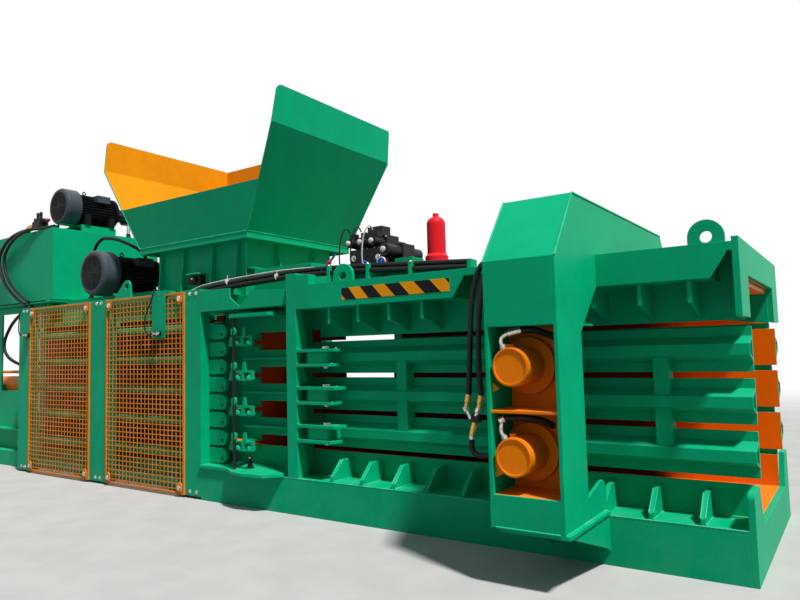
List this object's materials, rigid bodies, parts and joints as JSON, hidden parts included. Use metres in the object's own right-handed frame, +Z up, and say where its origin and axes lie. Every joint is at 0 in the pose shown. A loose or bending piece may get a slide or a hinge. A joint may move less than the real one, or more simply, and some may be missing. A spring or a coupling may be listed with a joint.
{
  "type": "horizontal recycling baler",
  "caption": "Horizontal channel baler: flared hopper over a ram press chamber, wire tying section, swinging side wall, portal squeeze frame at the bale outlet and a power unit behind.",
  "frame": {"origin": "on the ground, under the middle of the hopper and on the centre line of the bale channel", "axes": "+X along the channel to the bale outlet, +Y across to the far side, +Z up"},
  "size_m": [10.43, 2.614, 3.64],
  "materials": {
    "green_paint": "gloss machine paint",
    "orange_paint": "gloss machine paint",
    "motor_grey": "satin paint",
    "bare_steel": "machined, lightly oiled",
    "rod_chrome": "hard chrome",
    "black_rubber": "matt rubber hose",
    "valve_black": "black moulded coils",
    "fan_black": "matt",
    "blue_wheel": "gloss",
    "red_paint": "gloss"
  },
  "bodies": {
    "frame": {"base_beam_front": "green_paint", "base_beam_rear": "green_paint", "channel_floor": "orange_paint", "top_beam_front": "green_paint", "top_beam_rear": "green_paint", "channel_roof": "green_paint", "outlet_plate_lower": "green_paint", "outlet_plate_upper": "green_paint", "hinge_post_front": "green_paint", "hinge_post_rear": "green_paint", "squeeze_plate_inlet": "green_paint", "squeeze_plate_outlet": "green_paint", "hood_cover": "green_paint", "squeeze_foot": "green_paint", "cylinder_mount": "orange_paint", "squeeze_barrels": "orange_paint", "top_barrel": "orange_paint", "side_wall_rear": "green_paint", "hinge_pins": "bare_steel", "tying_wall_front": "green_paint", "tying_wall_rear": "green_paint", "tying_header": "green_paint", "lug_row": "green_paint", "wire_guides": "green_paint", "chamber_walls": "orange_paint", "shear_beam": "green_paint", "guard_frame": "green_paint", "guard_mesh_left": "orange_paint", "guard_mesh_right": "orange_paint", "main_barrel": "orange_paint", "rear_frame": "green_paint", "hopper_neck": "green_paint", "hopper": "green_paint", "deck": "green_paint", "oil_tank": "green_paint", "motor_upper": "motor_grey", "motor_lower": "motor_grey", "pumps": "motor_grey", "valve_manifold": "valve_black", "accumulator": "red_paint", "lifting_eyes": "green_paint", "squeeze_hoses": "black_rubber", "tank_hoses": "black_rubber", "tank_valves": "motor_grey", "top_pipes": "black_rubber", "limit_switches": "valve_black"},
    "side_wall": {"side_beam_upper": "green_paint", "side_beam_middle": "green_paint", "side_beam_lower": "green_paint"},
    "squeeze_pistons": {"squeeze_rods": "rod_chrome"},
    "press_plate": {"top_press_plate": "orange_paint"},
    "top_piston": {"top_rod": "rod_chrome"},
    "ram": {"ram_box": "orange_paint", "main_rod": "rod_chrome"},
    "fingers": {"finger_shaft": "green_paint"},
    "fan_upper": {"motor_fan_upper": "fan_black"},
    "fan_lower": {"motor_fan_lower": "fan_black"},
    "valve_wheel": {"handwheel": "blue_wheel"},
    "lever_left": {"switch_lever_left": "bare_steel"},
    "lever_right": {"switch_lever_right": "bare_steel"}
  },
  "joints": [
    {"name": "side_wall_swing", "type": "hinge", "parent": "frame", "child": "side_wall", "pos_m": [1.829, -0.85, 0.945], "axis": [0, 0, 1], "range_deg": [0, 2.5]},
    {"name": "squeeze_slide", "type": "slide", "parent": "frame", "child": "squeeze_pistons", "axis": [0, 1, 0], "range_m": [0, 0.085]},
    {"name": "press_plate_swing", "type": "hinge", "parent": "frame", "child": "press_plate", "pos_m": [1.631, 0, 1.644], "axis": [0, 1, 0], "range_deg": [0, 1.6]},
    {"name": "top_slide", "type": "slide", "parent": "frame", "child": "top_piston", "axis": [0, 0, -1], "range_m": [0, 0.062]},
    {"name": "ram_slide", "type": "slide", "parent": "frame", "child": "ram", "axis": [1, 0, 0], "range_m": [0, 1.85]},
    {"name": "finger_turn", "type": "hinge", "parent": "frame", "child": "fingers", "pos_m": [0.855, -0.94, 0.9], "axis": [0, 0, 1], "range_deg": [-80, 0]},
    {"name": "fan_upper_turn", "type": "hinge", "parent": "frame", "child": "fan_upper", "pos_m": [-2.907, -0.4, 3.213], "axis": [0, 1, 0], "continuous": true},
    {"name": "fan_lower_turn", "type": "hinge", "parent": "frame", "child": "fan_lower", "pos_m": [-1.554, -0.75, 2.221], "axis": [0, 1, 0], "continuous": true},
    {"name": "valve_wheel_turn", "type": "hinge", "parent": "frame", "child": "valve_wheel", "pos_m": [2.058, -0.62, 1.989], "axis": [0, 1, 0], "range_deg": [0, 360]},
    {"name": "lever_left_turn", "type": "hinge", "parent": "frame", "child": "lever_left", "pos_m": [-2.655, -0.99, 1.573], "axis": [0, 1, 0], "range_deg": [-30, 30], "stiffness_Nm_per_rad": 2},
    {"name": "lever_right_turn", "type": "hinge", "parent": "frame", "child": "lever_right", "pos_m": [-0.201, -0.99, 1.506], "axis": [0, 1, 0], "range_deg": [-30, 30], "stiffness_Nm_per_rad": 2}
  ],
  "couplings": [
    {"joint": "squeeze_slide", "follows": "side_wall_swing", "m_per_rad": 1.936},
    {"joint": "top_slide", "follows": "press_plate_swing", "m_per_rad": 2.203}
  ]
}
